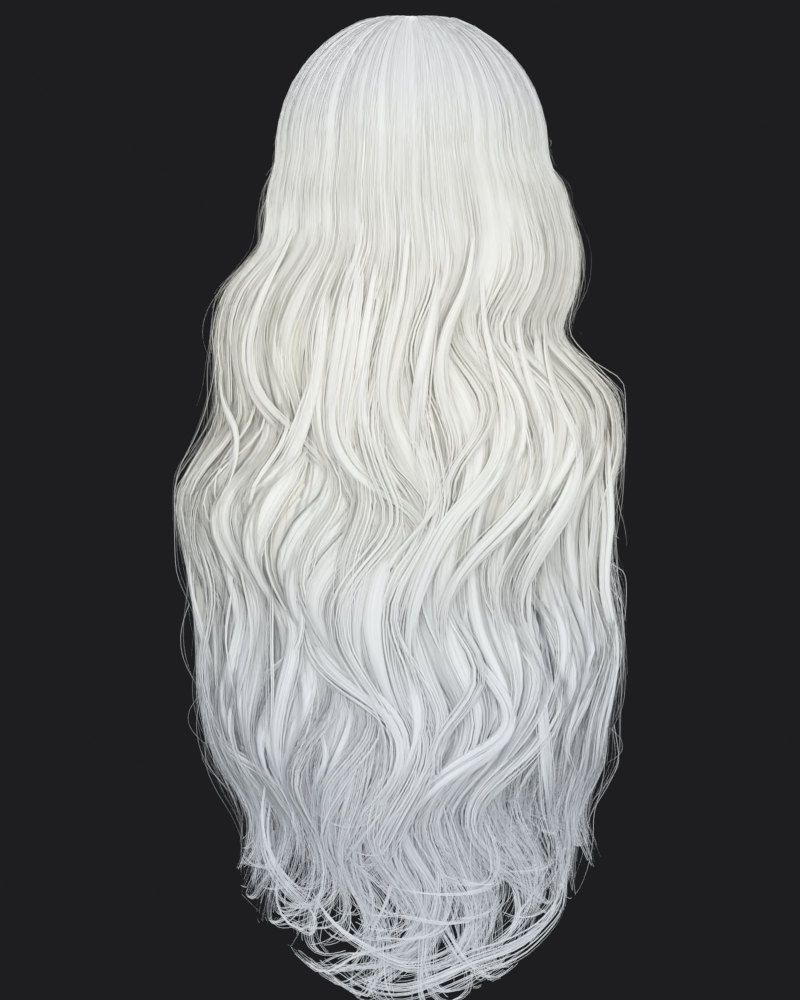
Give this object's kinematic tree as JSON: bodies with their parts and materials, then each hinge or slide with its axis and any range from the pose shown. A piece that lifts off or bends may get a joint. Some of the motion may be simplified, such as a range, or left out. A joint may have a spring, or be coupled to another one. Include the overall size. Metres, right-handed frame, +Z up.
{
  "type": "long wavy wig",
  "caption": "Long white wig with a centre parting, a close crown and loose waves that fall over the back, sides and front of the shoulders from a net cap.",
  "frame": {"origin": "inside of the cap's top, where the crown of the wearer's head sits", "axes": "+Z up, -Y the way the wearer faces, +X the wearer's left"},
  "size_m": [0.3375, 0.2339, 0.751],
  "materials": {
    "cap_net": "fine stretch net",
    "hair": "soft satin synthetic fibre"
  },
  "bodies": {
    "root": {"cap": "cap_net", "back_hair_middle": "hair", "back_hair_left": "hair", "back_hair_right": "hair", "side_hair_left": "hair", "side_hair_right": "hair", "front_hair_left": "hair", "front_hair_right": "hair"}
  },
  "joints": []
}
